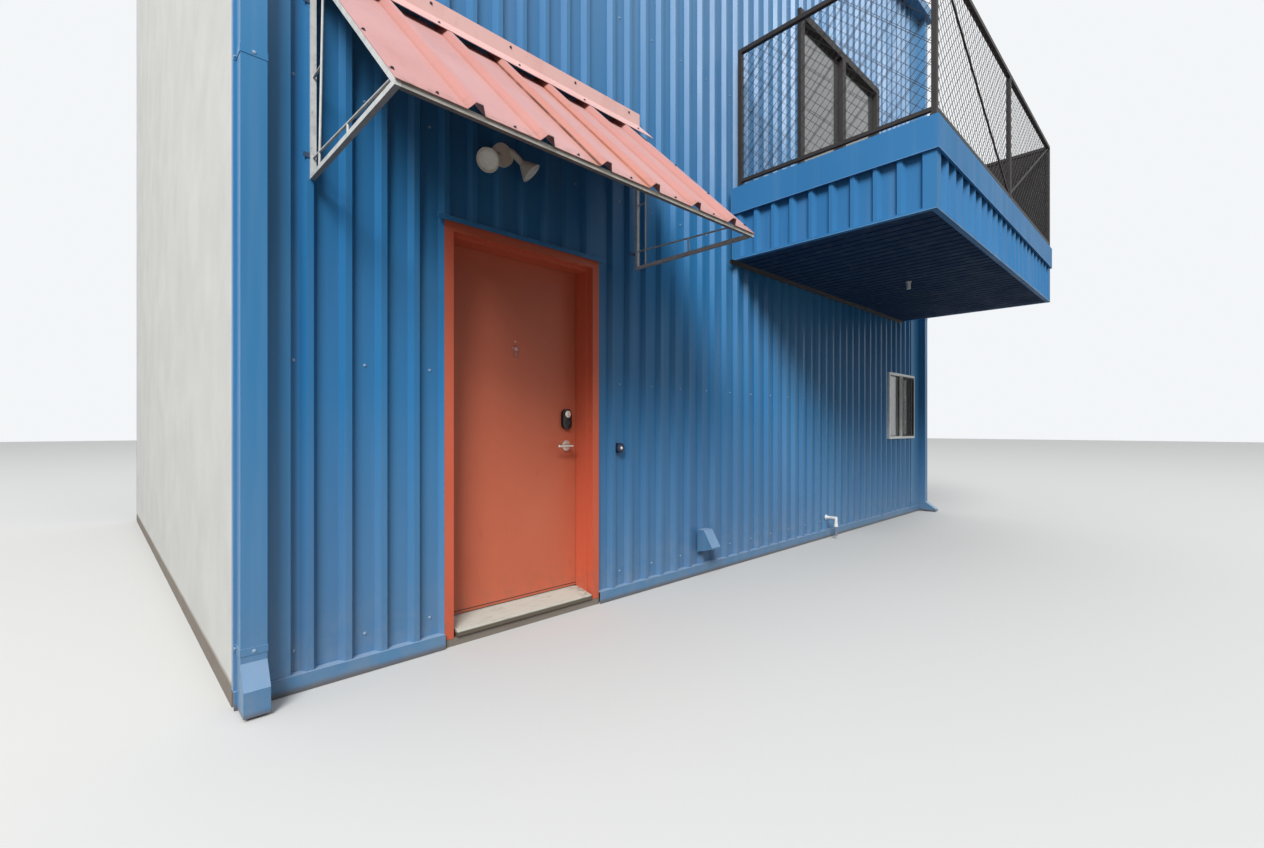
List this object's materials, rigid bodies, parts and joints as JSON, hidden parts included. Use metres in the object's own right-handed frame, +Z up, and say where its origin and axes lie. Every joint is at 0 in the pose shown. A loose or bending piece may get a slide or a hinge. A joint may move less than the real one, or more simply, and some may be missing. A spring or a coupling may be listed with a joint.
{
  "type": "two-storey cabin clad in ribbed steel",
  "caption": "Two-storey row-end cabin in blue ribbed steel cladding, with a sloped door awning, an inward-opening door with a lever, and a railed balcony.",
  "frame": {"origin": "centre of the footprint of the outside walls, on the ground", "axes": "+X along the front wall, from the ground door towards the balcony; +Y from the front wall to the rear wall; +Z up"},
  "size_m": [7.694, 7.698, 7.1988],
  "materials": {
    "concrete": "plain cast concrete",
    "plaster": "plain painted lining",
    "blue_steel": "blue satin paint on ribbed sheet, lightly weathered",
    "bare_steel_sheet": "plain coated roofing sheet",
    "red_frame_paint": "orange-red satin paint",
    "terracotta_paint": "terracotta satin paint",
    "pale_metal": "satin nickel",
    "black_plastic": "black keypad housing",
    "weathered_white_paint": "chalky white paint with grime",
    "faded_red_paint": "sun-faded red paint",
    "ivory_lamp_paint": "ivory enamel",
    "timber": "plain sawn boards and joists",
    "dark_bronze_paint": "dark bronze satin paint",
    "screen_mesh": "dark woven screen",
    "white_vinyl": "off-white frame",
    "glass": "clear glass",
    "drain_plastic": "pale plastic pipe"
  },
  "bodies": {
    "building": {"floor_slab": "concrete", "upper_floor": "concrete", "roof_deck": "plaster", "roof_sheet": "bare_steel_sheet", "roof_trim": "blue_steel", "gutter": "blue_steel", "front_wall_left": "plaster", "front_wall_over_door": "plaster", "front_wall_middle": "plaster", "front_wall_window_panels": "plaster", "front_wall_right": "plaster", "upper_wall_left": "plaster", "upper_wall_over_patio_door": "plaster", "upper_wall_right": "plaster", "party_wall": "plaster", "end_wall": "plaster", "rear_wall_piers": "plaster", "rear_wall_panels": "plaster", "front_cladding_left": "blue_steel", "front_cladding_right": "blue_steel", "end_cladding": "blue_steel", "rear_cladding": "blue_steel", "corner_trims": "blue_steel", "base_trim": "blue_steel", "downspout_left": "blue_steel", "downspout_right": "blue_steel", "door_frame": "red_frame_paint", "door_sill": "pale_metal", "door_head_cap": "blue_steel", "hinge_frame_halves": "pale_metal", "awning_bracket_left": "weathered_white_paint", "awning_bracket_right": "weathered_white_paint", "awning_front_tube": "weathered_white_paint", "awning_sheet": "faded_red_paint", "awning_cap": "faded_red_paint", "floodlight": "ivory_lamp_paint", "balcony_joists": "timber", "balcony_deck": "timber", "balcony_fascia": "blue_steel", "balcony_band": "blue_steel", "balcony_soffit": "blue_steel", "soffit_lamp": "white_vinyl", "railing_near": "dark_bronze_paint", "railing_front": "dark_bronze_paint", "railing_far": "dark_bronze_paint", "railing_screen": "screen_mesh", "patio_door_frame": "dark_bronze_paint", "patio_door_glass": "glass", "window_frames": "white_vinyl", "window_glass": "glass", "vent_hood": "blue_steel", "drain_pipe": "drain_plastic"},
    "door": {"door_leaf": "terracotta_paint", "hinge_leaf_halves": "pale_metal", "door_deadbolt": "black_plastic", "lever_roses": "pale_metal", "door_viewer": "pale_metal"},
    "lever": {"door_lever": "pale_metal"}
  },
  "joints": [
    {"name": "door_swing", "type": "hinge", "parent": "building", "child": "door", "pos_m": [-2.9085, -2.876, 1], "axis": [0, 0, 1], "range_deg": [0, 100]},
    {"name": "lever_turn", "type": "hinge", "parent": "door", "child": "lever", "pos_m": [-2.093, -2.9075, 0.99], "axis": [0, -1, 0], "range_deg": [0, 45], "stiffness_Nm_per_rad": 2.5, "springref_deg": -11.46}
  ]
}
